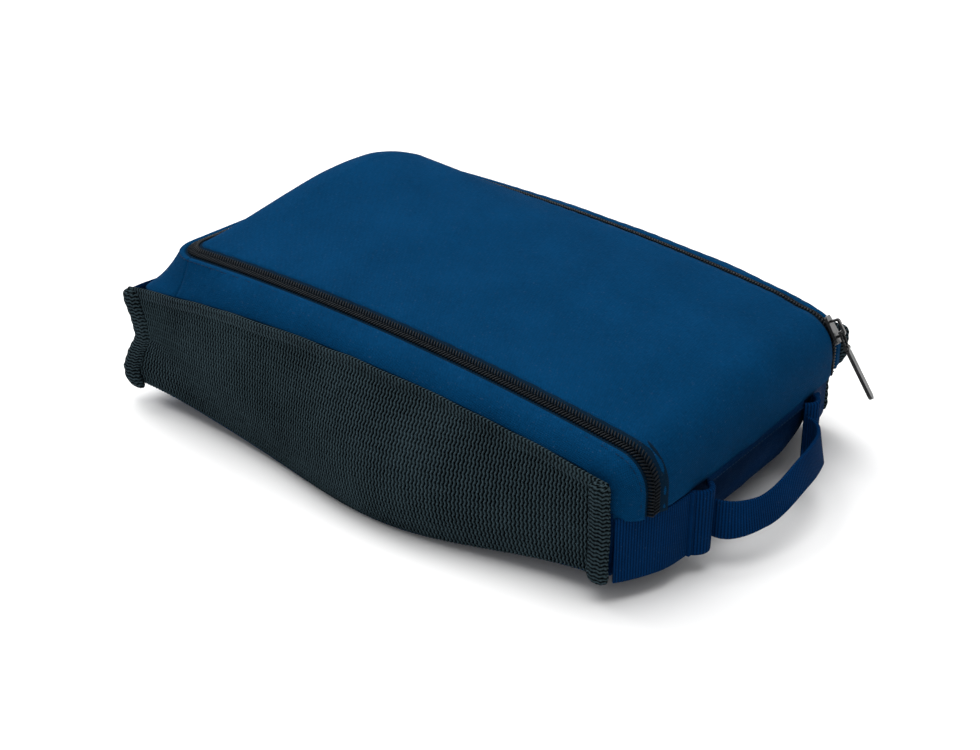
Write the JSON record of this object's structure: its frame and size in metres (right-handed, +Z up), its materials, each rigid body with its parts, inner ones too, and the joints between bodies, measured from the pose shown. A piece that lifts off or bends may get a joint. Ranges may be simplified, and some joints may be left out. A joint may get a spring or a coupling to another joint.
{
  "type": "golf shoe bag",
  "caption": "Soft zip-top shoe bag with mesh long sides, a crowned fabric lid that folds back at the handle end, and a webbing grab handle.",
  "frame": {"origin": "middle of the flat underside of the bag's body, on the surface that it rests on", "axes": "+X along the bag towards the handle end, +Z up, -Y towards the front mesh side"},
  "size_m": [0.3947, 0.2588, 0.1301],
  "materials": {
    "navy_oxford": "navy oxford-weave polyester with a soft sheen",
    "mesh": "black-green warp-knit polyester mesh",
    "webbing": "navy woven webbing with fine ribs",
    "zip_tape": "dark navy woven zip tape",
    "zip_coil": "black nylon coil, slightly glossy",
    "binding": "black woven binding tape",
    "black_metal": "black enamelled cast metal, glossy"
  },
  "bodies": {
    "root": {"bottom_panel": "navy_oxford", "front_mesh_panel": "mesh", "back_mesh_panel": "mesh", "front_mesh_hem": "mesh", "back_mesh_hem": "mesh", "corner_rolls": "mesh", "far_end_panel": "navy_oxford", "handle_end_panel": "navy_oxford", "front_band": "navy_oxford", "back_band": "navy_oxford", "far_end_band": "navy_oxford", "bottom_binding": "binding", "lid_end_flap": "navy_oxford", "hinge_seam": "navy_oxford", "rim_zip_tape": "zip_tape", "rim_zip_coil": "zip_coil", "end_zip_tape": "zip_tape", "end_zip_coil": "zip_coil", "base_strap_front": "webbing", "base_strap_back": "webbing", "handle_fold_front": "webbing", "handle_fold_back": "webbing"},
    "lid": {"lid_panel": "navy_oxford", "lid_zip_tape": "zip_tape", "lid_zip_coil": "zip_coil"},
    "slider": {"slider_body": "black_metal"},
    "link": {"pull_link": "black_metal"},
    "tab": {"pull_tab": "black_metal"},
    "handle": {"handle_loop": "webbing"}
  },
  "joints": [
    {"name": "lid_open", "type": "hinge", "parent": "root", "child": "lid", "pos_m": [0.139, 0, 0.10006], "axis": [0, 1, 0], "range_deg": [0, 110]},
    {"name": "zip_travel", "type": "hinge", "parent": "root", "child": "slider", "pos_m": [0.16, 0, 0.06261], "axis": [0, -1, 0], "range_deg": [-7, 43]},
    {"name": "link_swing", "type": "hinge", "parent": "slider", "child": "link", "pos_m": [0.18334, 0.10033, 0.07529], "axis": [0.2802, -0.9397, 0.1962], "range_deg": [0, 130]},
    {"name": "tab_swing", "type": "hinge", "parent": "link", "child": "tab", "pos_m": [0.18824, 0.09997, 0.06658], "axis": [0.2802, -0.9397, 0.1962], "range_deg": [0, 45]},
    {"name": "handle_swing", "type": "hinge", "parent": "root", "child": "handle", "pos_m": [0.1945, 0, 0.042], "axis": [0.0558, -0.9984, 0], "range_deg": [0, 75]}
  ]
}
